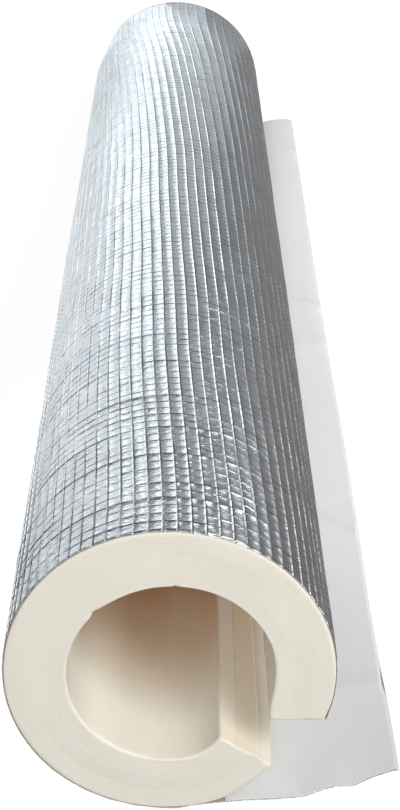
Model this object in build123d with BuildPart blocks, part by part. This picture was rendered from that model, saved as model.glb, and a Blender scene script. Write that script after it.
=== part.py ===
from build123d import *
from math import cos, radians, sin, sqrt, tan
import os

# A one-metre length of split foam pipe insulation in a foil jacket.
#
# The foam is a thick tube, slit along its length and sprung a little open. A foil
# jacket is wrapped round it from one lip of the slit, the long way round, almost to
# the other. Short of that lip it leaves the foam and runs out as a straight lap,
# which carries a white release liner on its inner side. Lying down, the tube rests
# on the line where the lap leaves it. Here it stands on its end.
#
# Millimetres, +Z up. The pipe's axis is the Z axis, and the origin is the centre of
# the bore at mid-length. The slit faces +X and -Y, and the lap runs out towards +X
# along the -Y side. Height above the lap is measured towards +Y.

os.makedirs("parts", exist_ok=True)

# Foam tube
length = 1000.0
bore_radius = 49.8
wall = 29.2
bore_off_centre = 1.6  # how far the bore lies towards +X of the outer circle's centre

# The slit, a wedge between the two cut faces
upper_lip_drop = 26.0  # one cut face lies across Y, this far to -Y of the pipe's axis
slit_spread = 34.5  # degrees between the two cut faces
slit_point_x = 8.5  # where the planes of the two cut faces meet

# Foil jacket
glue_line = 0.1  # between the foam and the foil, and between the foil and the liner
foil_thickness = 0.4
lap_reach = 116.0  # from the line where the lap leaves the tube to the lap's free edge
lap_flat_length = 200.0  # this much of the lap, from the upper end, is flat
lap_rise = 39.0  # how far the free edge has bent round the tube at the lower end
lap_rise_power = 1.3  # how gently that bend begins
lap_slack = 9.0  # the lap's sweep beside the tube has this much more radius than the foam
upper_edge_recess = 29.0  # how far the lap's upper corner lies below the tube's end

# Release liner
liner_thickness = 0.3
liner_start = 27.0  # from the line where the lap leaves the tube to the liner
liner_inset = 3.0  # the foil shows this much beyond the liner's free edge
liner_setback = 1.0  # the foil shows this much beyond the liner's two ends

half_length = length / 2
outer_radius = bore_radius + wall
outer_centre_x = -bore_off_centre
foil_inner_radius = outer_radius + glue_line
foil_outer_radius = foil_inner_radius + foil_thickness
lap_back = -foil_outer_radius
lap_end_x = outer_centre_x + lap_reach
liner_end = lap_reach - liner_inset
liner_base = foil_thickness + glue_line
liner_top = liner_base + liner_thickness
points_across = 15
rise_steps = 4

# How far towards +X the other cut face meets the outside of the foam
spread = radians(slit_spread)
point_from_centre = slit_point_x - outer_centre_x
along_face = point_from_centre * cos(spread) + upper_lip_drop * sin(spread)
face_width = sqrt(
    outer_radius**2 + along_face**2 - point_from_centre**2 - upper_lip_drop**2
)
lower_lip = point_from_centre + (face_width - along_face) * cos(spread)


def lap_height(across):
    """How high the lap is at the lower end, at a distance from where it leaves the tube.

    It sweeps round beside the tube along a circle as far as the slit's lip, goes on
    along that slope and droops to the free edge.
    """
    sweep = outer_radius + lap_slack
    if across <= lower_lip:
        return sweep - sqrt(sweep**2 - across**2)
    start = sweep - sqrt(sweep**2 - lower_lip**2)
    slope = lower_lip / sqrt(sweep**2 - lower_lip**2)
    run = lap_reach - lower_lip
    droop = (start + slope * run - lap_rise) / run**2
    past = across - lower_lip
    return start + slope * past - droop * past**2


def lap_line(start, end, above, rise):
    """Points across the lap between two distances, a height above its back."""
    step = (end - start) / (points_across - 1)
    stops = [start + step * i for i in range(points_across)]
    return [(outer_centre_x + s, lap_back + above + rise * lap_height(s)) for s in stops]


def rise_stations(end_setback):
    """Distance below the upper end, and share of the full rise, for each section."""
    last = length - end_setback
    for i in range(rise_steps + 1):
        below = lap_flat_length + (last - lap_flat_length) * i / rise_steps
        share = (below - lap_flat_length) / (length - lap_flat_length)
        yield below, share**lap_rise_power


def upper_edge(setback):
    """Three points along the lap's upper edge, which bows down to its free corner."""
    top = half_length - setback
    return (
        (outer_centre_x, top),
        (outer_centre_x + lap_reach / 2, top - upper_edge_recess / 4),
        (lap_end_x, top - upper_edge_recess),
    )


# Foam tube, with its slit
with BuildPart() as foam_tube:
    with BuildSketch(Plane.XY.offset(-half_length)):
        with Locations((outer_centre_x, 0)):
            Circle(outer_radius)
        Circle(bore_radius, mode=Mode.SUBTRACT)
        wedge_width = 2 * outer_radius
        with BuildLine():
            Polyline(
                (slit_point_x, -upper_lip_drop),
                (slit_point_x + wedge_width, -upper_lip_drop),
                (slit_point_x + wedge_width, -upper_lip_drop - wedge_width * tan(spread)),
                close=True,
            )
        make_face(mode=Mode.SUBTRACT)
    extrude(amount=length)

# Foil jacket, wrapped round the foam and left loose as the lap
with BuildPart() as foil_jacket:
    with BuildSketch(Plane.XY.offset(-half_length)):
        with Locations((outer_centre_x, 0)):
            Circle(foil_outer_radius)
            Circle(foil_inner_radius, mode=Mode.SUBTRACT)
        with Locations((outer_centre_x, -upper_lip_drop)):
            Rectangle(
                2 * outer_radius,
                2 * outer_radius,
                align=(Align.MIN, Align.MAX),
                mode=Mode.SUBTRACT,
            )
    extrude(amount=length)

    with BuildSketch(Plane.XY.offset(half_length - lap_flat_length)):
        with Locations((outer_centre_x, lap_back)):
            Rectangle(lap_reach, foil_thickness, align=(Align.MIN, Align.MIN))
    extrude(amount=lap_flat_length)

    for below, rise in rise_stations(0):
        with BuildSketch(Plane.XY.offset(half_length - below)):
            with BuildLine():
                back = Spline(*lap_line(0, lap_reach, 0, rise))
                front = Spline(*lap_line(0, lap_reach, foil_thickness, rise))
                Line(back @ 0, front @ 0)
                Line(back @ 1, front @ 1)
            make_face()
    loft()

    # Trim the lap's upper edge, cutting from in front of it towards -Y
    with BuildSketch(Plane.XZ.offset(-lap_back - 2 * foil_thickness)):
        with BuildLine():
            edge = ThreePointArc(*upper_edge(0))
            Polyline(
                edge @ 1,
                (lap_end_x + foil_thickness, half_length - upper_edge_recess),
                (lap_end_x + foil_thickness, half_length + foil_thickness),
                (outer_centre_x, half_length + foil_thickness),
                edge @ 0,
            )
        make_face()
    extrude(amount=3 * foil_thickness, mode=Mode.SUBTRACT)

# Release liner, lying on the lap
with BuildPart() as release_liner:
    with BuildSketch(Plane.XY.offset(half_length - lap_flat_length)):
        with Locations((outer_centre_x + liner_start, lap_back + liner_base)):
            Rectangle(
                liner_end - liner_start, liner_thickness, align=(Align.MIN, Align.MIN)
            )
    extrude(amount=lap_flat_length)

    for below, rise in rise_stations(liner_setback):
        with BuildSketch(Plane.XY.offset(half_length - below)):
            with BuildLine():
                back = Spline(*lap_line(liner_start, liner_end, liner_base, rise))
                front = Spline(*lap_line(liner_start, liner_end, liner_top, rise))
                Line(back @ 0, front @ 0)
                Line(back @ 1, front @ 1)
            make_face()
    loft()

    # The liner's upper edge follows the lap's
    with BuildSketch(Plane.XZ.offset(-lap_back - 2 * liner_top)):
        with BuildLine():
            edge = ThreePointArc(*upper_edge(liner_setback))
            Polyline(
                edge @ 1,
                (lap_end_x, half_length + foil_thickness),
                (outer_centre_x, half_length + foil_thickness),
                edge @ 0,
            )
        make_face()
    extrude(amount=3 * liner_top, mode=Mode.SUBTRACT)

foam_tube.part.label = "foam_tube"
foil_jacket.part.label = "foil_jacket"
release_liner.part.label = "release_liner"

export_step(foam_tube.part, "parts/foam_tube.step")
export_step(foil_jacket.part, "parts/foil_jacket.step")
export_step(release_liner.part, "parts/release_liner.step")
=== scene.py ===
import math

import bpy
import numpy as np
from mathutils import Matrix, Quaternion, Vector


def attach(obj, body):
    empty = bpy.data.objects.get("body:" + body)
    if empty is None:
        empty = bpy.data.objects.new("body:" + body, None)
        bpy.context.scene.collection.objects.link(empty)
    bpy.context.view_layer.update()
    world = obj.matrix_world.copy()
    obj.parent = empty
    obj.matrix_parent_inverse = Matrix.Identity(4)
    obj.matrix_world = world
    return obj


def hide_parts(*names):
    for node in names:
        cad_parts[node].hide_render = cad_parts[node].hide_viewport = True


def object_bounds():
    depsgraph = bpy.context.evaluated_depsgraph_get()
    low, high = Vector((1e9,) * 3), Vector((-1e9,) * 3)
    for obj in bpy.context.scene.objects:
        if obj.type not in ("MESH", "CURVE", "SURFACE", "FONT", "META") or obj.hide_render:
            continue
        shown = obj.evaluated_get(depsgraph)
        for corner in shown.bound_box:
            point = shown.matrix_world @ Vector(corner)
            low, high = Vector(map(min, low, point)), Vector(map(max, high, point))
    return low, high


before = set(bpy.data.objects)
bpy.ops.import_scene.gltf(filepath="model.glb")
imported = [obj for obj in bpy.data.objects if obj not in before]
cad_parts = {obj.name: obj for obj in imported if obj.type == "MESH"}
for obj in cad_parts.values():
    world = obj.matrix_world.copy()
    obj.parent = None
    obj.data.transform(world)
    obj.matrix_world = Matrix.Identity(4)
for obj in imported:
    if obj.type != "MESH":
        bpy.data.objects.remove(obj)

CAD_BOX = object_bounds()

# All lengths are in millimetres until a mesh is made. The tube stands on its end, with the
# photograph's near end at the top. The slit faces +X and -Y, and the lap runs out towards
# +X along the -Y side. Distances called s or c are measured down from the top.
MM = 0.001
LENGTH = 1000.0
TOP = LENGTH / 2
CENTRE_X = -1.6
OUTER_R = 79.0

# Sizes of the foam tube. Its first lip is the one towards +X, where the jacket begins, and
# its second lip the one towards -Y.
FOAM_R = 78.9
WALL = 29.2
ARC = 385.0  # once round the foam, from lip to lip
BORE_OFF_CENTRE = 0.02  # a share of the outer radius
EDGE_ROUND = 0.9
OUTER_FROM = -19.4  # degrees round the outside from +X, at the first lip
OUTER_TO = 313.0  # and at the second
BORE_FROM = -29.4  # the same round the bore
BORE_TO = 302.9
END_JOINS = (9.4, 18.6)  # joins between the foam's layers, out from the bore, on the ends
LIP_JOINS = (8.9, 21.6)  # and on the slit's faces
# Nicks in the bore's top edge: how far round, how deep and how wide
BORE_NICKS = ((190.0, 1.9, 2.4), (135.5, 0.8, 1.5), (186.0, 0.8, 6.0), (262.0, 0.4, 5.0))

# Sizes of the foil jacket and its lap
FOIL_R = 79.5
FOIL_THICK = 0.4
WRAP_START = math.radians(-19.3)
WRAP = FOIL_R * (math.radians(270) - WRAP_START)  # the jacket's width round the foam
LAP_BACK = -FOIL_R
LAP_REACH = 116.0
LAP_FLAT = 200.0  # this much of the lap, from the top, is flat
LAP_RISE = 39.0  # how far the free edge has bent round the tube at the foot
LAP_RISE_POWER = 1.3  # how gently that bend begins
LAP_SLACK = 9.0  # the lap's sweep has this much more radius than the foam
LIP_ACROSS = 54.9  # how far across the lap the second lip is, where the sweep ends
# The lap's raised creases: how far down, how they lean, how high and how wide
CREASES = (
    (580, -0.65, 2.6, 7.0), (271, -1.0, 2.2, 8.0), (916, -1.0, 1.9, 9.0),
    (516, 0.1, 0.9, 12.0), (100, 0.25, 0.5, 8.0),
)
CREASES_FROM = 108  # the distance across the lap at which they are that far down

# Sizes of the net of threads under the foil
COLUMN = 6.6  # the pitch of the threads that run along the tube
ROW = 7.1  # and of those that run round it
FIRST_COLUMN = 2.0
FIRST_ROW = 3.0
FOOT = 0.58  # from a thread's crest to its foot
RIB_ALONG = 0.46  # how high the threads stand
RIB_ROUND = 0.22
# Threads round the tube that stand higher than the rest, and their share of that height
STRONG_ROWS = {4: 2.0, 6: 1.5, 10: 2.0, 14: 1.7, 19: 1.8, 25: 1.5, 30: 1.5, 36: 1.4, 44: 1.3}

# Sizes of the release liner, across the lap and through it
LINER_START = 27.0
LINER_REACH = 115.6
GLUE = 0.08
PAPER = 0.3

EVEN = 1e9  # a noise with cells this long is even along them
rng = np.random.default_rng(7)


def table(pairs):
    """A smooth curve through a few points, held level beyond its ends."""
    xs = np.array([p[0] for p in pairs], float)
    ys = np.array([p[1] for p in pairs], float)
    # Slopes that never carry the curve past its points
    between = np.diff(ys) / np.diff(xs)
    before, after = between[:-1], between[1:]
    agree = before * after > 0
    slopes = np.zeros(len(xs))
    slopes[1:-1][agree] = 2 * (before * after)[agree] / (before + after)[agree]

    def curve(x):
        x = np.clip(np.asarray(x, float), xs[0], xs[-1])
        i = np.clip(np.searchsorted(xs, x, side="right") - 1, 0, len(xs) - 2)
        h = xs[i + 1] - xs[i]
        f = (x - xs[i]) / h
        return (
            ys[i] * (1 + 2 * f) * (1 - f) ** 2
            + slopes[i] * h * f * (1 - f) ** 2
            + ys[i + 1] * f * f * (3 - 2 * f)
            + slopes[i + 1] * h * f * f * (f - 1)
        )

    return curve


def soft_noise(size_a, size_b, seed):
    """A smooth random field with cells of the given sizes, from -1 to 1."""
    cells = 64
    grid = np.random.default_rng(seed).uniform(-1, 1, (cells, cells))

    def corner(i, j):
        return grid[i % cells, j % cells]

    def field(a, b):
        a = np.asarray(a, float) / size_a
        b = np.asarray(b, float) / size_b
        i = np.floor(a).astype(int)
        j = np.floor(b).astype(int)
        in_a = a - i
        in_b = b - j
        in_a = in_a * in_a * (3 - 2 * in_a)
        in_b = in_b * in_b * (3 - 2 * in_b)
        low = corner(i, j) * (1 - in_a) + corner(i + 1, j) * in_a
        high = corner(i, j + 1) * (1 - in_a) + corner(i + 1, j + 1) * in_a
        return low * (1 - in_b) + high * in_b

    return field


def fade(x, start, end):
    """0 up to the start, rising evenly to 1 at the end."""
    return np.clip((x - start) / (end - start), 0, 1)


def hump(x, middle, width):
    """A smooth hump, 1 at its middle."""
    return np.exp(-(((x - middle) / width) ** 2))


def make_mesh(name, vertices, faces):
    mesh = bpy.data.meshes.new(name)
    mesh.from_pydata((np.asarray(vertices) * MM).tolist(), [], faces)
    mesh.validate()
    mesh.polygons.foreach_set("use_smooth", [True] * len(mesh.polygons))
    mesh.update()
    obj = bpy.data.objects.new(name, mesh)
    bpy.context.scene.collection.objects.link(obj)
    return obj


def mark_points(obj, name, places):
    """Give every point of a mesh its place in the piece's own coordinates."""
    mark = obj.data.attributes.new(name, "FLOAT_VECTOR", "POINT")
    mark.data.foreach_set("vector", (np.asarray(places) * MM).ravel())


def rim_pairs(count_a, count_b):
    """The places round the edge of a grid, each with the next one."""
    last_a, last_b = count_a - 1, count_b - 1
    rim = [(i, 0) for i in range(count_a)]
    rim += [(last_a, j) for j in range(1, count_b)]
    rim += [(i, last_b) for i in range(last_a - 1, -1, -1)]
    rim += [(0, j) for j in range(last_b - 1, 0, -1)]
    return list(zip(rim, rim[1:] + rim[:1]))


def photo_camera():
    """The camera, at the photograph's angle."""
    data = bpy.data.cameras.new("camera")
    data.lens = 74.5
    data.sensor_width = 36
    data.clip_start = 0.01
    data.clip_end = 100
    camera = bpy.data.objects.new("camera", data)
    bpy.context.scene.collection.objects.link(camera)
    bpy.context.scene.camera = camera
    place = (0.0076, 0.4705, 1.1457)
    forward = Vector((0.00758, -0.45217, -0.89188)).normalized()
    right = forward.cross(Vector((0, 1, 0))).normalized()
    up = right.cross(forward)
    turn = Matrix((right, up, -forward)).transposed().to_4x4()
    camera.matrix_world = Matrix.Translation(place) @ turn


# Foam tube

# Shares of the outer radius, by degrees round: the lips curl in a little
outer_share = table(
    [(OUTER_FROM, 0.994), (-10, 1.0), (250, 1.0), (262, 0.999), (270, 0.996), (277, 0.994), (284, 0.990),
     (289.7, 0.984), (294, 0.969), (298.6, 0.953), (304.8, 0.938), (309.5, 0.926), (314.4, 0.921)]
)
bore_share = table(
    [(BORE_FROM, 0.668), (-25, 0.645), (-20, 0.629), (-15, 0.621), (-5, 0.616), (7, 0.620), (20, 0.626),
     (60, 0.630), (255, 0.631), (266, 0.628), (275, 0.621), (285, 0.603), (295, 0.572), (BORE_TO, 0.546)]
)
layer_wander = soft_noise(40, EVEN, 12)
flutes = soft_noise(7, 260, 13)
swell = soft_noise(45, 90, 14)


def squeeze(angle, s):
    """The share of its radius that the tube keeps.

    It is a little flattened on its -X side near the top, and pressed in at its foot.
    """
    degrees = np.degrees(angle)
    flattened = 0.013 * hump(degrees, 176, 38) * (1 - fade(s, 0, 420))
    pressed = 0.055 * hump(degrees, 160, 22) * fade(s, 950, LENGTH) ** 1.3
    return 1 - flattened - pressed


def foam_point(a, b, c):
    """A place in the foam: a round the tube, b outwards through the wall, c down from the top."""
    second_lip = OUTER_TO + 1.4 * fade(c, 4, 34)
    outer_angle = np.radians(OUTER_FROM + a / ARC * (second_lip - OUTER_FROM))
    bore_angle = np.radians(BORE_FROM + a / ARC * (BORE_TO - BORE_FROM))
    outer = FOAM_R * outer_share(np.degrees(outer_angle)) * squeeze(outer_angle, c)
    bore = OUTER_R * bore_share(np.degrees(bore_angle))
    share = b / WALL
    bore_x = BORE_OFF_CENTRE * OUTER_R + bore * np.cos(bore_angle)
    x = bore_x * (1 - share) + outer * np.cos(outer_angle) * share
    y = bore * np.sin(bore_angle) * (1 - share) + outer * np.sin(outer_angle) * share
    return np.stack([CENTRE_X + x, y, TOP - c], -1)


def edge_stops(length, middle):
    """Places for a mesh's lines, close together at its two rounded edges."""
    near = [0, 0.3 * EDGE_ROUND, EDGE_ROUND, 2.2]
    clear = 2.5
    kept = [v for v in middle if clear < v < length - clear]
    return np.array(near + kept + [length - v for v in reversed(near)])


def join_stops(start, count):
    """Places close enough together to show a join between two layers."""
    return [round(start + 0.4 * n, 1) for n in range(count)]


def box_skin(counts):
    """The outside of a block of grid points: their places in the grid, and the faces."""
    last_a, last_b, last_c = (count - 1 for count in counts)
    along_a, along_b, along_c = (1, 0, 0), (0, 1, 0), (0, 0, 1)
    index = {}
    faces = []

    def moved(place, *steps):
        return tuple(sum(parts) for parts in zip(place, *steps))

    def quad(corner, first, second):
        loop = (corner, moved(corner, first), moved(corner, first, second), moved(corner, second))
        faces.append(tuple(index.setdefault(place, len(index)) for place in loop))

    for i in range(last_a):
        for j in range(last_b):
            quad((i, j, 0), along_b, along_a)
            quad((i, j, last_c), along_a, along_b)
        for k in range(last_c):
            quad((i, 0, k), along_a, along_c)
            quad((i, last_b, k), along_c, along_a)
    for j in range(last_b):
        for k in range(last_c):
            quad((0, j, k), along_c, along_b)
            quad((last_a, j, k), along_b, along_c)
    return np.array(list(index)), faces


def rounded(points):
    """Points on a block's outside, brought onto its rounded edges."""
    tiny = 1e-9
    core = np.clip(points, EDGE_ROUND, np.array([ARC, WALL, LENGTH]) - EDGE_ROUND)
    off = points - core
    reach = np.linalg.norm(off, axis=1, keepdims=True)
    return np.where(reach > tiny, core + EDGE_ROUND * off / np.maximum(reach, tiny), points)


def on_face(distance):
    """1 for points on a face of the block, and 0 for the rest."""
    return 1 - fade(distance, 0, 0.05)


def layer_joins(joins, b, along):
    """1 on the joins between the foam's layers, which wander a little."""
    width = 0.5
    return sum(
        hump(b, at + 0.5 * layer_wander(along + 100 * n, 0), width) for n, at in enumerate(joins)
    )


def foam_tube():
    through_wall = [4.5, 6.5] + join_stops(7.8, 8) + [12.5, 15] + join_stops(17.4, 14) + [24.4, 25.8]
    from_top = [4, 6.5, 9.5, 13, 17, 22, 28, 35] + list(np.linspace(45, 975, 56)) + [985, 992]
    grid = (
        edge_stops(ARC, np.linspace(3.2, ARC - 3.2, 190)),
        edge_stops(WALL, through_wall),
        edge_stops(LENGTH, from_top),
    )
    places, faces = box_skin([len(stops) for stops in grid])
    points = np.stack([stops[places[:, n]] for n, stops in enumerate(grid)], -1)
    a, b, c = rounded(points).T.copy()

    # The joins between the foam's three layers, on the ends and on the slit's faces
    on_top = on_face(c)
    on_foot = on_face(LENGTH - c)
    clearer = 0.35 + 0.65 * hump(a, 285, 70)
    c += 0.07 * clearer * layer_joins(END_JOINS, b, a) * (on_top - on_foot)
    a += 0.5 * layer_joins(LIP_JOINS, b, c / 4) * (on_face(a) - on_face(ARC - a))

    # The bore is faintly fluted along its length, and its top edge is nicked
    b += on_face(b) * (0.22 * flutes(a, c) + 0.25 * swell(a, c))
    for at, deep, wide in BORE_NICKS:
        dip = hump(a, at, wide) * (1 - fade(b, 0, 2.4)) * (1 - fade(c, 0, 4.0))
        b += dip * deep * 0.6
        c += dip * deep * 0.5
    # The cut end is not quite true
    c += on_top * 0.35 * swell(a * 1.3 + 50, b * 9)
    obj = make_mesh("foam", foam_point(a, b, c), faces)
    mark_points(obj, "in_foam", np.stack([a, b, c], -1))
    obj.data.materials.append(foam_material())
    return obj


# Foil jacket and its lap

# How far below the tube's end the lap's upper edge lies, across the lap
near_edge = table(
    [(0, 0.0), (13, 2.6), (26.6, 4.7), (39.5, 6.1), (51.9, 6.8), (65.4, 8.2), (74, 11.3),
     (81.8, 14.6), (91.3, 15.7), (97, 19.4), (103.2, 23.6), (109, 26.2), (LAP_REACH, 28.6)]
)
# How far out the lap's free edge lies, down the tube
free_edge = table(
    [(0, 115.7), (28, 115.9), (60, 116.2), (90, 116.0), (111, 115.5), (160, 115.5), (226, 116.3),
     (346, 116.9), (460, 116.2), (593, 115.8), (LENGTH, 115.8)]
)
# The net of threads leans round the tube, more and more towards the foot
thread_lean = table([(0, 0), (200, 7.2), (400, 12.6), (600, 18.4), (800, 29), (LENGTH, 43)])
ripple_long = soft_noise(38, 120, 21)
ripple_fine = soft_noise(14, 46, 22)


def lap_height(across):
    """How high the lap is at the foot: it sweeps round beside the tube, goes on and droops."""
    sweep = OUTER_R + LAP_SLACK
    below = math.sqrt(sweep**2 - LIP_ACROSS**2)
    start = sweep - below
    slope = LIP_ACROSS / below
    run = LAP_REACH - LIP_ACROSS
    droop = (start + slope * run - LAP_RISE) / run**2
    curve = sweep - np.sqrt(np.maximum(sweep**2 - np.minimum(across, LIP_ACROSS) ** 2, 0))
    past = np.maximum(across - LIP_ACROSS, 0)
    return curve + slope * past - droop * past**2


def lap_lift(across, s):
    """How far the lap stands off the plane of its flat stretch, with its creases."""
    across, s = np.broadcast_arrays(np.asarray(across, float), np.asarray(s, float))
    lift = fade(s, LAP_FLAT, LENGTH) ** LAP_RISE_POWER * lap_height(across)
    loose = fade(across, 45, 75)
    for down, lean, high, wide in CREASES:
        lift = lift + loose * high * hump(s - down - lean * (across - CREASES_FROM), 0, wide)
    lift = lift + loose * (0.45 * ripple_long(across, s) + 0.12 * ripple_fine(across, s))
    # The upper edge is wavy
    near = 1 - fade(s, 0, 70)
    wave = np.maximum(0, np.sin(across / 11.5 + 0.6))
    lift = lift + near**2 * 1.2 * wave * fade(across, 55, 75)
    return np.maximum(lift, 0.0)


def sheet_point(t, s, above):
    """A point of the jacket's sheet: t along it from the first lip, s down from its top edge."""
    t, s, above = np.broadcast_arrays(*(np.asarray(v, float) for v in (t, s, above)))
    angle = WRAP_START + np.minimum(t, WRAP) / FOIL_R
    radius = FOIL_R * squeeze(angle, s) + above
    round_tube = (CENTRE_X + radius * np.cos(angle), radius * np.sin(angle), TOP - s)
    across = np.maximum(t - WRAP, 0)
    down = s + near_edge(across) * (1 - fade(s, 0, 260))
    stretch = 1 + (free_edge(down) / LAP_REACH - 1) * fade(across, 40, 100)
    on_lap = (CENTRE_X + across * stretch, LAP_BACK + lap_lift(across, down) - above, TOP - down)
    return np.stack([np.where(t > WRAP, *both) for both in zip(on_lap, round_tube)], -1)


def thread_stops():
    """Places for the sheet's mesh lines: on each thread's crest and at its two feet."""
    sheet = WRAP + LAP_REACH
    clear = 1.2
    columns = []
    t = FIRST_COLUMN
    while t < sheet - clear:
        columns += [t - FOOT, t, t + FOOT] if t < WRAP else [t, t + COLUMN / 2]
        t += COLUMN
    rows = []
    s = FIRST_ROW
    while s < LENGTH - clear:
        rows += [s - FOOT, s, s + FOOT]
        s += ROW
    inside = [t for t in columns if 0.3 < t < sheet - 0.3]
    return np.array([0.0] + inside + [sheet]), np.array([0.0] + rows + [LENGTH])


def rib(places, first, pitch):
    """1 on the crests of the threads, falling to 0 at their feet."""
    off = np.abs((places - first + pitch / 2) % pitch - pitch / 2)
    return 1 - fade(off, 0, FOOT)


def foil_relief(t, s, round_tube):
    """How far the threads and the crumpled foil stand out."""
    rib_t = rib(t, FIRST_COLUMN, COLUMN)
    rib_s = rib(s, FIRST_ROW, ROW)
    along = RIB_ALONG * (0.85 + 0.25 * soft_noise(COLUMN * 2, 26, 36)(t, s))
    row = np.rint((s - FIRST_ROW) / ROW).astype(int)
    row_share = rng.uniform(0.35, 1.0, row.max() + 1)
    row_share[list(STRONG_ROWS)] = list(STRONG_ROWS.values())
    patchy = 0.75 + 0.6 * soft_noise(28, ROW, 37)(t, s)
    across = RIB_ROUND * row_share[row] * np.clip(patchy, 0.15, 1.3) * (1 - 0.35 * fade(s, 0, 600))
    # They are fainter near the first lip
    across = across * (0.35 + 0.65 * fade(round_tube, 100, 160))
    height = np.maximum(along * rib_t, across * rib_s) + 0.05 * rib_t * rib_s
    height = height + (1 - np.maximum(rib_t, rib_s)) * rng.normal(0, 0.03, height.shape)
    slanting = soft_noise(17, 23, 33)(t + 0.35 * s, s)
    broad = soft_noise(48, 75, 34)(t, s)
    height = height + 0.08 * slanting + 0.14 * broad
    # The relief is fainter on the lap. The sheet's edges are plain.
    on_lap = t > WRAP
    height = np.where(on_lap, height * 0.4, height - 0.22)
    sunk = -0.15
    height[:, 0] = height[:, -1] = np.where(on_lap[:, 0], 0.0, sunk)
    height[0] = sunk
    height[-1] = 0
    return height


def coarse_loops(t_count, s_count, first_lap):
    """Large faces for the side towards the foam, with every point along the sheet's edges."""
    last_t, last_s = t_count - 1, s_count - 1
    on_tube = [i for i in range(0, t_count, 9) if i < first_lap - 3] + [first_lap]
    on_lap = list(range(first_lap, t_count))
    lap_pitch = 3
    for columns, pitch in ((on_tube, 4 * lap_pitch), (on_lap, lap_pitch)):
        rows = [j for j in range(0, s_count, pitch) if j < s_count - pitch // 2] + [last_s]
        for a, b in zip(columns[:-1], columns[1:]):
            for c, d in zip(rows[:-1], rows[1:]):
                low = range(a, b) if c == 0 else [a]
                high = range(b, a, -1) if d == last_s else [b]
                left = range(d, c, -1) if a == 0 else [d]
                right = [c]
                if b == last_t:
                    right = range(c, d)
                elif b == first_lap:
                    right = range(c, d, lap_pitch)
                yield (
                    [(i, c) for i in low] + [(b, j) for j in right]
                    + [(i, d) for i in high] + [(a, j) for j in left]
                )


def net_places(t, s):
    """Where the net's threads really run: they wander and lean, within the sheet's edges."""
    in_t = fade(np.minimum(t, WRAP + LAP_REACH - t), 0, 6)
    in_s = fade(np.minimum(s, LENGTH - s), 0, 6)
    leaning = np.minimum(fade(t, 0, 105), fade(WRAP - t, 0, 160))
    t_now = t + 0.55 * soft_noise(60, 90, 31)(t, s) * in_t + thread_lean(s) * leaning
    s_now = s + 0.8 * soft_noise(50, 120, 32)(t, s) * in_s
    # The top edge is a little ragged, and set back where it lies on the foam
    ragged = soft_noise(3.4, EVEN, 35)(t[:, 0], 0)
    s_now[:, 0] += np.where(t[:, 0] < WRAP, 0.5, 0.0) - 0.25 * ragged
    return t_now, s_now


def jacket_faces(t_stops, s_stops):
    """The jacket's faces, whether each is smooth, its material, and the inner side's points."""
    t_count, s_count = len(t_stops), len(s_stops)
    inner_index = {}
    faces = []
    smooth = []
    slots = []
    foil_slot, back_slot = 0, 1

    def inner(place):
        """The number of a point on the side towards the foam."""
        return t_count * s_count + inner_index.setdefault(place, len(inner_index))

    def add(face, slot, is_smooth=True):
        faces.append(face)
        slots.append(slot)
        smooth.append(is_smooth)

    on_rib_t = np.diff(t_stops) < 1.2 * FOOT
    on_rib_s = np.diff(s_stops) < 1.2 * FOOT
    for i in range(t_count - 1):
        for j in range(s_count - 1):
            p = i * s_count + j
            between_threads = not (on_rib_t[i] or on_rib_s[j])
            add((p, p + 1, p + s_count + 1, p + s_count), foil_slot, between_threads)
    first_lap = int(np.searchsorted(t_stops, WRAP))
    for loop in coarse_loops(t_count, s_count, first_lap):
        add(tuple(inner(place) for place in loop), back_slot)
    for one, two in rim_pairs(t_count, s_count):
        slot = foil_slot if min(one[0], two[0]) > first_lap else back_slot
        p = one[0] * s_count + one[1]
        q = two[0] * s_count + two[1]
        add((p, q, inner(two), inner(one)), slot)
    return faces, smooth, slots, tuple(np.array(list(inner_index)).T)


def foil_jacket():
    t_stops, s_stops = thread_stops()
    faces, smooth, slots, kept = jacket_faces(t_stops, s_stops)
    t, s = np.meshgrid(t_stops, s_stops, indexing="ij")
    t_now, s_now = net_places(t, s)
    outer = sheet_point(t_now, s_now, foil_relief(t, s, t_now))
    inner = sheet_point(t_now, s_now, -FOIL_THICK)
    obj = make_mesh("foil", np.vstack([outer.reshape(-1, 3), inner[kept]]), faces)
    obj.data.polygons.foreach_set("use_smooth", smooth)
    # The marks go on through the sheet, so that the crumple does over its cut edges
    through = np.array([0.0, 0.0, 1.0])
    for name, places in (("sheet", (t, s)), ("placed", (t_now, s_now))):
        marks = np.stack([*places, np.zeros_like(t)], -1)
        mark_points(obj, name, np.vstack([marks.reshape(-1, 3), marks[kept] + through]))
    obj.data.materials.append(foil_material())
    obj.data.materials.append(back_material())
    obj.data.polygons.foreach_set("material_index", slots)
    return obj


# Release liner

# How much the liner's free edge is worn away, down the tube
liner_worn = table(
    [(0, 0.0), (62, 0.0), (72, 0.5), (79, 1.1), (84, 0.9), (92, 0.5), (104, 0.0), (LENGTH, 0.0)]
)


def edge_moved(across, by):
    """Move the liner's free edge outwards, and the strip beside it in proportion."""
    strip = 100.0
    share = (across - strip) / (LINER_REACH - strip)
    return across + np.where(across > strip, share * by, 0)


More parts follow.
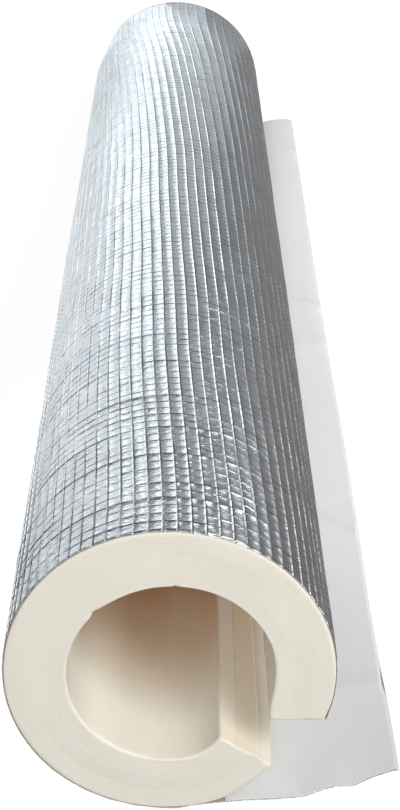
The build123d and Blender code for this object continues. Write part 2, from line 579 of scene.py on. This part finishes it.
def release_liner():
    a_stops = np.concatenate([[LINER_START, 27.4], np.linspace(29, 113.4, 43), [LINER_REACH]])
    s_stops = np.concatenate([[0.1, 0.6], np.linspace(3, 996, 400), [998.6, 999.2]])
    across, s = np.meshgrid(a_stops, s_stops, indexing="ij")
    beyond_stops = 0.3
    across = edge_moved(edge_moved(across, -liner_worn(s)), beyond_stops)
    pucker = 0.05 * soft_noise(5, 60, 41)(across, s) + 0.08 * soft_noise(16, 22, 42)(across, s)
    lower = sheet_point(WRAP + across, s, -(FOIL_THICK + GLUE))
    upper = sheet_point(WRAP + across, s, -(FOIL_THICK + GLUE + PAPER) - np.abs(pucker))
    a_count, s_count = across.shape
    n = a_count * s_count
    faces = []
    for i in range(a_count - 1):
        for j in range(s_count - 1):
            p = i * s_count + j
            faces.append((p, p + s_count, p + s_count + 1, p + 1))
            faces.append((n + p, n + p + 1, n + p + s_count + 1, n + p + s_count))
    for one, two in rim_pairs(a_count, s_count):
        p = one[0] * s_count + one[1]
        q = two[0] * s_count + two[1]
        faces.append((p, n + p, n + q, q))
    obj = make_mesh("liner", np.vstack([lower.reshape(-1, 3), upper.reshape(-1, 3)]), faces)
    obj.data.materials.append(liner_material())
    return obj


# Materials
RIDGED = "RIDGED_MULTIFRACTAL"


class Nodes:
    """A short way to write the nodes of a material or of the world."""

    def __init__(self, owner, shader):
        owner.use_nodes = True
        self.owner = owner
        self.tree = owner.node_tree
        self.shader = self.tree.nodes[shader]

    def feed(self, socket, value):
        """Give a socket a plain value, a colour or another node's output."""
        if isinstance(value, bpy.types.NodeSocket):
            self.tree.links.new(value, socket)
        elif isinstance(value, tuple) and socket.type == "RGBA":
            socket.default_value = (*value, 1)
        else:
            socket.default_value = value

    def shade(self, inputs):
        """Set the shader's own inputs."""
        for name, value in inputs.items():
            self.feed(self.shader.inputs[name], value)
        return self.owner

    def new(self, kind, inputs=None, **settings):
        node = self.tree.nodes.new(kind)
        for key, value in settings.items():
            setattr(node, key, value)
        for name, value in (inputs or {}).items():
            self.feed(node.inputs[name], value)
        return node

    def place(self):
        """Each point's place in its object."""
        return self.new("ShaderNodeTexCoord").outputs["Object"]

    def mark(self, name):
        """Each point's place as marked on the mesh."""
        return self.new("ShaderNodeAttribute", attribute_name=name).outputs["Vector"]

    def split(self, vector):
        return self.new("ShaderNodeSeparateXYZ", {"Vector": vector}).outputs

    def scaled(self, vector, scale, turn=(0.0, 0.0, 0.0)):
        inputs = {"Vector": vector, "Scale": scale, "Rotation": turn}
        return self.new("ShaderNodeMapping", inputs).outputs["Vector"]

    def noise(self, vector, scale, detail=3.0, rough=0.5, distortion=0.0, kind="FBM"):
        inputs = {
            "Vector": vector, "Scale": scale, "Detail": detail,
            "Roughness": rough, "Distortion": distortion,
        }
        return self.new("ShaderNodeTexNoise", inputs, noise_type=kind).outputs[0]

    def voronoi(self, vector, scale):
        inputs = {"Vector": vector, "Scale": scale}
        return self.new("ShaderNodeTexVoronoi", inputs).outputs["Distance"]

    def math(self, operation, *values):
        node = self.new("ShaderNodeMath", operation=operation)
        for socket, value in zip(node.inputs, values):
            self.feed(socket, value)
        return node.outputs[0]

    def times(self, a, b):
        return self.math("MULTIPLY", a, b)

    def larger(self, a, b):
        return self.math("MAXIMUM", a, b)

    def smaller(self, a, b):
        return self.math("MINIMUM", a, b)

    def minus(self, a, b):
        return self.math("SUBTRACT", a, b)

    def map_range(self, value, low, high, to_low=0.0, to_high=1.0):
        inputs = {
            "Value": value, "From Min": low, "From Max": high, "To Min": to_low, "To Max": to_high,
        }
        return self.new("ShaderNodeMapRange", inputs).outputs["Result"]

    def ramp(self, value, dark, pale):
        """A colour between two, as a noise goes from 0.3 to 0.7."""
        node = self.new("ShaderNodeValToRGB", {"Fac": value})
        for element, at, colour in zip(node.color_ramp.elements, (0.3, 0.7), (dark, pale)):
            element.position = at
            element.color = (*colour, 1)
        return node.outputs["Color"]

    def mix(self, factor, a, b):
        node = self.new("ShaderNodeMix", data_type="RGBA")
        sockets = [s for s in node.inputs if s.enabled]
        for socket, value in zip(sockets, (factor, a, b)):
            self.feed(socket, value)
        return [s for s in node.outputs if s.enabled][0]

    def bump(self, height, distance, strength, onto=None):
        inputs = {"Height": height, "Distance": distance, "Strength": strength}
        if onto is not None:
            inputs["Normal"] = onto
        return self.new("ShaderNodeBump", inputs).outputs["Normal"]


def material_nodes(name):
    return Nodes(bpy.data.materials.new(name), "Principled BSDF")


def from_thread(m, places, first, pitch):
    """How far a point is from the nearest thread, on one side or the other."""
    half = pitch * MM / 2
    return m.math("WRAP", m.minus(places, first * MM), half, -half)


def line(m, distance, at, width):
    """A soft line beside a thread."""
    off = m.math("ABSOLUTE", m.minus(distance, at * MM))
    return m.map_range(off, 0.15 * width * MM, width * MM, 1.0, 0.0)


def foil_colour(m, sheet, round_tube):
    """Grey, with painted shade in thin dark lines at the foot of the threads and in short strokes, and
    painted highlights on the crests.
    """
    cloud = m.noise(m.place(), 26, detail=4)
    base = m.ramp(cloud, (0.388, 0.401, 0.416), (0.436, 0.451, 0.468))
    split = m.split(sheet)
    column = from_thread(m, split["X"], FIRST_COLUMN, COLUMN)
    row = from_thread(m, split["Y"], FIRST_ROW, ROW)
    # A noise that breaks the painted shade lines and painted highlight crests into dashes
    dashed = m.map_range(m.noise(m.scaled(sheet, (1.0, 0.35, 1.0)), 60), 0.38, 0.6, 0.15, 1.0)
    broken = m.map_range(m.noise(m.scaled(sheet, (1.0, 2.0, 1.0)), 75, detail=2), 0.42, 0.62)
    # Painted shade in short dark strokes, as where crinkled foil turns from the light
    drawn_out = m.scaled(sheet, (0.42, 1.75, 1.0))
    stroke = m.noise(drawn_out, 330, detail=2, distortion=0.6, kind=RIDGED)
    strokes = m.times(m.map_range(stroke, 1.25, 1.75), 0.5)
    # Painted shade in a line at each thread's foot; low on the -X side the cells are painted dark
    # instead, and the threads' flanks painted bright
    low_down = m.map_range(round_tube, 222 * MM, 250 * MM)
    foot_line = m.times(line(m, column, -0.5, 0.7), m.minus(1.0, low_down))
    cell_shade = m.times(line(m, column, -2.2, 1.9), m.times(low_down, 0.75))
    columns = m.times(m.larger(foot_line, cell_shade), dashed)
    # Painted shade beside the threads that run round the tube
    rows = m.times(line(m, row, -0.35, 0.75), broken)
    dark = m.larger(m.larger(columns, rows), strokes)
    lined = m.mix(m.times(dark, 0.95), base, (0.06, 0.066, 0.075))
    # Painted highlight: a crest is bright from one cross thread to the next, and dull where they cross
    flank = m.times(line(m, column, -0.3, 0.55), low_down)
    between_rows = m.times(dashed, m.map_range(line(m, row, 0.0, 2.4), 0.0, 1.0, 0.95, 0.2))
    crest = m.times(m.larger(line(m, column, 0.27, 0.6), flank), between_rows)
    return m.mix(crest, lined, (0.80, 0.82, 0.84))


def foil_crinkle(m, sheet, round_tube):
    """Crumpled facets, with thin creases that run round the tube at a slight slant."""
    drawn_out = m.scaled(sheet, (0.55, 1.35, 1.0))
    crumple = m.noise(drawn_out, 420, rough=0.6, distortion=1.2, kind=RIDGED)
    facet = m.voronoi(m.scaled(sheet, (0.8, 1.3, 1.0)), 420)
    slant = m.scaled(sheet, (0.10, 1.0, 1.0), turn=(0.0, 0.0, 0.11))
    crease = m.noise(slant, 70, detail=2, distortion=0.4, kind=RIDGED)
    creased = m.bump(m.map_range(crease, 1.35, 1.9), 0.5 * MM, 0.5)
    # The sheet is tighter, and so smoother, next to the lip where it begins
    tight = m.map_range(round_tube, 115 * MM, 160 * MM, 0.4, 1.0)
    crumpled = m.bump(crumple, 0.4 * MM, m.times(tight, 0.6), creased)
    return m.bump(facet, 0.4 * MM, m.times(tight, 0.45), crumpled)


def foil_material():
    m = material_nodes("foil_laminate")
    sheet = m.mark("sheet")
    # The mark that leaves out the lean of the threads
    round_tube = m.split(m.mark("placed"))["X"]
    return m.shade({
        "Metallic": 1.0,
        "Base Color": foil_colour(m, sheet, round_tube),
        "Roughness": m.map_range(m.noise(m.place(), 90), 0.3, 0.7, 0.19, 0.29),
        "Normal": foil_crinkle(m, sheet, round_tube),
    })


def back_material():
    """The jacket's other side, brown, and grey with glue along the lap's free edge."""
    m = material_nodes("laminate_back")
    place = m.place()
    brown = m.ramp(m.noise(place, 60), (0.36, 0.28, 0.25), (0.44, 0.36, 0.32))
    along_sheet = m.split(m.mark("sheet"))["X"]
    glued = m.map_range(along_sheet, (WRAP + 90) * MM, (WRAP + 100) * MM)
    return m.shade({
        "Base Color": m.mix(glued, brown, (0.20, 0.20, 0.21)),
        "Roughness": 0.5,
        "Normal": m.bump(m.noise(place, 300), 0.2 * MM, 0.4),
    })


def foam_colour(m, place):
    cloud = m.noise(place, 22, detail=4)
    base = m.ramp(cloud, (0.815, 0.772, 0.675), (0.845, 0.806, 0.717))
    split = m.split(m.mark("in_foam"))
    a, b, c = split["X"], split["Y"], split["Z"]
    # Inside the bore the skin is painted browner away from the ends, as shade deep in the bore, with
    # paler streaks
    in_bore = m.map_range(b, 1.2 * MM, 0.3 * MM)
    base = m.mix(in_bore, base, (0.88, 0.835, 0.735))
    from_end = m.smaller(c, m.minus(LENGTH * MM, c))
    inward = m.map_range(from_end, 45 * MM, 200 * MM)
    shaded_deep = m.mix(m.times(in_bore, inward), base, (0.83, 0.48, 0.225))
    streak = m.noise(m.scaled(place, (1.0, 1.0, 0.03)), 70, detail=2)
    pale = m.times(in_bore, m.map_range(streak, 0.5, 0.7, 0.0, 0.45))
    streaked = m.mix(pale, shaded_deep, (0.87, 0.81, 0.69))
    # The slit's faces are warmer across the middle layer, and turn browner away from the ends with
    # painted shade
    from_lip = m.smaller(a, m.minus(ARC * MM, a))
    on_lip = m.map_range(from_lip, 0.3 * MM, 0.9 * MM, 1.0, 0.0)
    past_first = m.map_range(b, 5.5 * MM, 11 * MM, 0.35, 1.0)
    before_last = m.map_range(b, 19.5 * MM, 22.5 * MM, 1.0, 0.35)
    layer_tint_and_shade = m.mix(inward, (0.80, 0.705, 0.56), (0.78, 0.58, 0.39))
    return m.mix(m.times(on_lip, m.smaller(past_first, before_last)), streaked, layer_tint_and_shade)


def foam_material():
    m = material_nodes("cream_foam")
    place = m.place()
    uneven = m.bump(m.noise(place, 260, detail=4), 0.3 * MM, 0.35)
    return m.shade({
        "Base Color": foam_colour(m, place),
        "Roughness": 0.9,
        "Specular IOR Level": 0.2,
        "Normal": m.bump(m.voronoi(place, 1500), 0.2 * MM, 0.35, uneven),
    })


def liner_material():
    m = material_nodes("release_paper")
    place = m.place()
    streak = m.noise(m.scaled(place, (1.0, 1.0, 0.05)), 60)
    base = m.ramp(streak, (0.73, 0.74, 0.75), (0.78, 0.79, 0.80))
    clouded = m.map_range(m.noise(place, 9), 0.35, 0.7, 0.0, 0.35)
    base = m.mix(clouded, base, (0.72, 0.73, 0.745))
    # Painted shade: it is greyer towards the upper free corner, where the lap would curve away from the
    # light
    split = m.split(place)
    upper = m.map_range(split["Z"], 250 * MM, 460 * MM)
    outer = m.map_range(split["X"], 20 * MM, 110 * MM, 0.15, 1.0)
    return m.shade({
        "Base Color": m.mix(m.times(upper, outer), base, (0.56, 0.57, 0.585)),
        "Roughness": m.map_range(streak, 0.3, 0.7, 0.38, 0.5),
        "Specular IOR Level": 0.4,
        "Normal": m.bump(m.noise(place, 120), 0.3 * MM, 0.3),
    })


# Floor and light. From here on lengths are in metres.
WHITE = (1.0, 1.0, 1.0)
PALE_BLUE = (0.92, 0.97, 1.0)
COOL = (0.86, 0.95, 1.0)
# Small panels round the foot of the tube: degrees round it, and radiance
FOOT_PANELS = {48: 0.15, 75: 0.62, 105: 1.65, 135: 1.35, 165: 1.0, 195: 0.8}


def rays_of(m, *kinds):
    """1 for rays of the given kinds, and 0 for others."""
    path = m.new("ShaderNodeLightPath")
    total = path.outputs[kinds[0]]
    for kind in kinds[1:]:
        total = m.math("ADD", total, path.outputs[kind])
    return total


def pale_floor():
    """A floor that the camera sees as pale, and that the foil hardly reflects."""
    half = 14.0
    z = CAD_BOX[0].z - 0.0005
    corners = [(-half, -half, z), (half, -half, z), (half, half, z), (-half, half, z)]
    mesh = bpy.data.meshes.new("floor")
    mesh.from_pydata(corners, [], [(0, 1, 2, 3)])
    floor = bpy.data.objects.new("floor", mesh)
    bpy.context.scene.collection.objects.link(floor)
    m = material_nodes("pale_floor")
    to_camera = m.times(rays_of(m, "Is Camera Ray"), 0.86)
    mirrored = m.times(rays_of(m, "Is Glossy Ray", "Is Transmission Ray"), 0.05)
    mesh.materials.append(m.shade({
        "Base Color": (0.28, 0.28, 0.28),
        "Roughness": 0.9,
        "Specular IOR Level": 0.0,
        "Emission Color": WHITE,
        "Emission Strength": m.math("ADD", to_camera, mirrored),
    }))


def white_world():
    """White to the camera and in what the foil mirrors, and dimmer as light."""
    m = Nodes(bpy.data.worlds.new("world"), "Background")
    seen = rays_of(m, "Is Camera Ray", "Is Glossy Ray", "Is Transmission Ray")
    bpy.context.scene.world = m.shade({
        "Color": WHITE,
        "Strength": m.map_range(seen, 0.0, 1.0, 0.35, 1.0),
    })


def softbox(name, place, target, width, height, power, colour=WHITE):
    data = bpy.data.lights.new(name, "AREA")
    data.color = colour
    data.shape = "RECTANGLE"
    data.size = width
    data.size_y = height
    data.energy = power
    lamp = bpy.data.objects.new(name, data)
    lamp.visible_camera = False
    bpy.context.scene.collection.objects.link(lamp)
    lamp.location = place
    lamp.rotation_mode = "QUATERNION"
    lamp.rotation_quaternion = (Vector(target) - Vector(place)).to_track_quat("-Z", "Y")
    return lamp


def panel(name, x, y, width, height, radiance, colour=COOL, turned=0.0, lift=0.005):
    """A light on the floor that faces up, for the foil to reflect."""
    place = (x, y, CAD_BOX[0].z + lift)
    power = radiance * math.pi * width * height
    lamp = softbox(name, place, (x, y, 1.0), width, height, power, colour)
    lamp.rotation_quaternion = Quaternion((0, 0, 1), turned) @ lamp.rotation_quaternion


def lights():
    panel("left", -0.66, 0.32, width=1.04, height=1.36, radiance=0.98, colour=PALE_BLUE)
    panel("outer", -0.68, 0.34, width=0.66, height=0.95, radiance=0.4, colour=PALE_BLUE, lift=0.01)
    panel("back", 0.04, 0.445, width=0.24, height=0.71, radiance=0.45)
    panel("bright", -0.17, 0.37, width=0.26, height=0.52, radiance=1.6, lift=0.01)
    from_centre = 0.112
    for degrees, radiance in FOOT_PANELS.items():
        angle = math.radians(degrees)
        x = CENTRE_X * MM + from_centre * math.cos(angle)
        y = from_centre * math.sin(angle)
        panel("foot_%d" % degrees, x, y, 0.08, 0.06, radiance, turned=angle, lift=0.001)
    softbox("top", (1.1, 1.5, 1.7), (0.02, 0, 0.1), width=1.15, height=1.15, power=31)
    softbox("fill", (-0.1, 0.9, 2.3), (0, 0, 0.3), width=0.8, height=0.8, power=11)
    softbox("low", (0.6, 0.75, -0.3), (0.07, -0.08, -0.4), width=0.5, height=0.5, power=4.8)
    softbox("side", (0.5, -0.015, 0.42), (0.0, -0.045, 0.4), width=0.1, height=0.2, power=0.5)


# Build and place the pieces
photo_camera()
foam = foam_tube()
foil = foil_jacket()
liner = release_liner()
pieces = ((foam, "foam_tube", "foam"), (foil, "foil_jacket", "foil"), (liner, "release_liner", "liner"))
for piece, node, slot in pieces:
    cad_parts[node].data.materials.clear()
    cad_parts[node].data.materials.append(piece.data.materials[0])
    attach(piece, "root")
    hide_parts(node)

bpy.context.scene.view_settings.view_transform = "Standard"
pale_floor()
white_world()
lights()
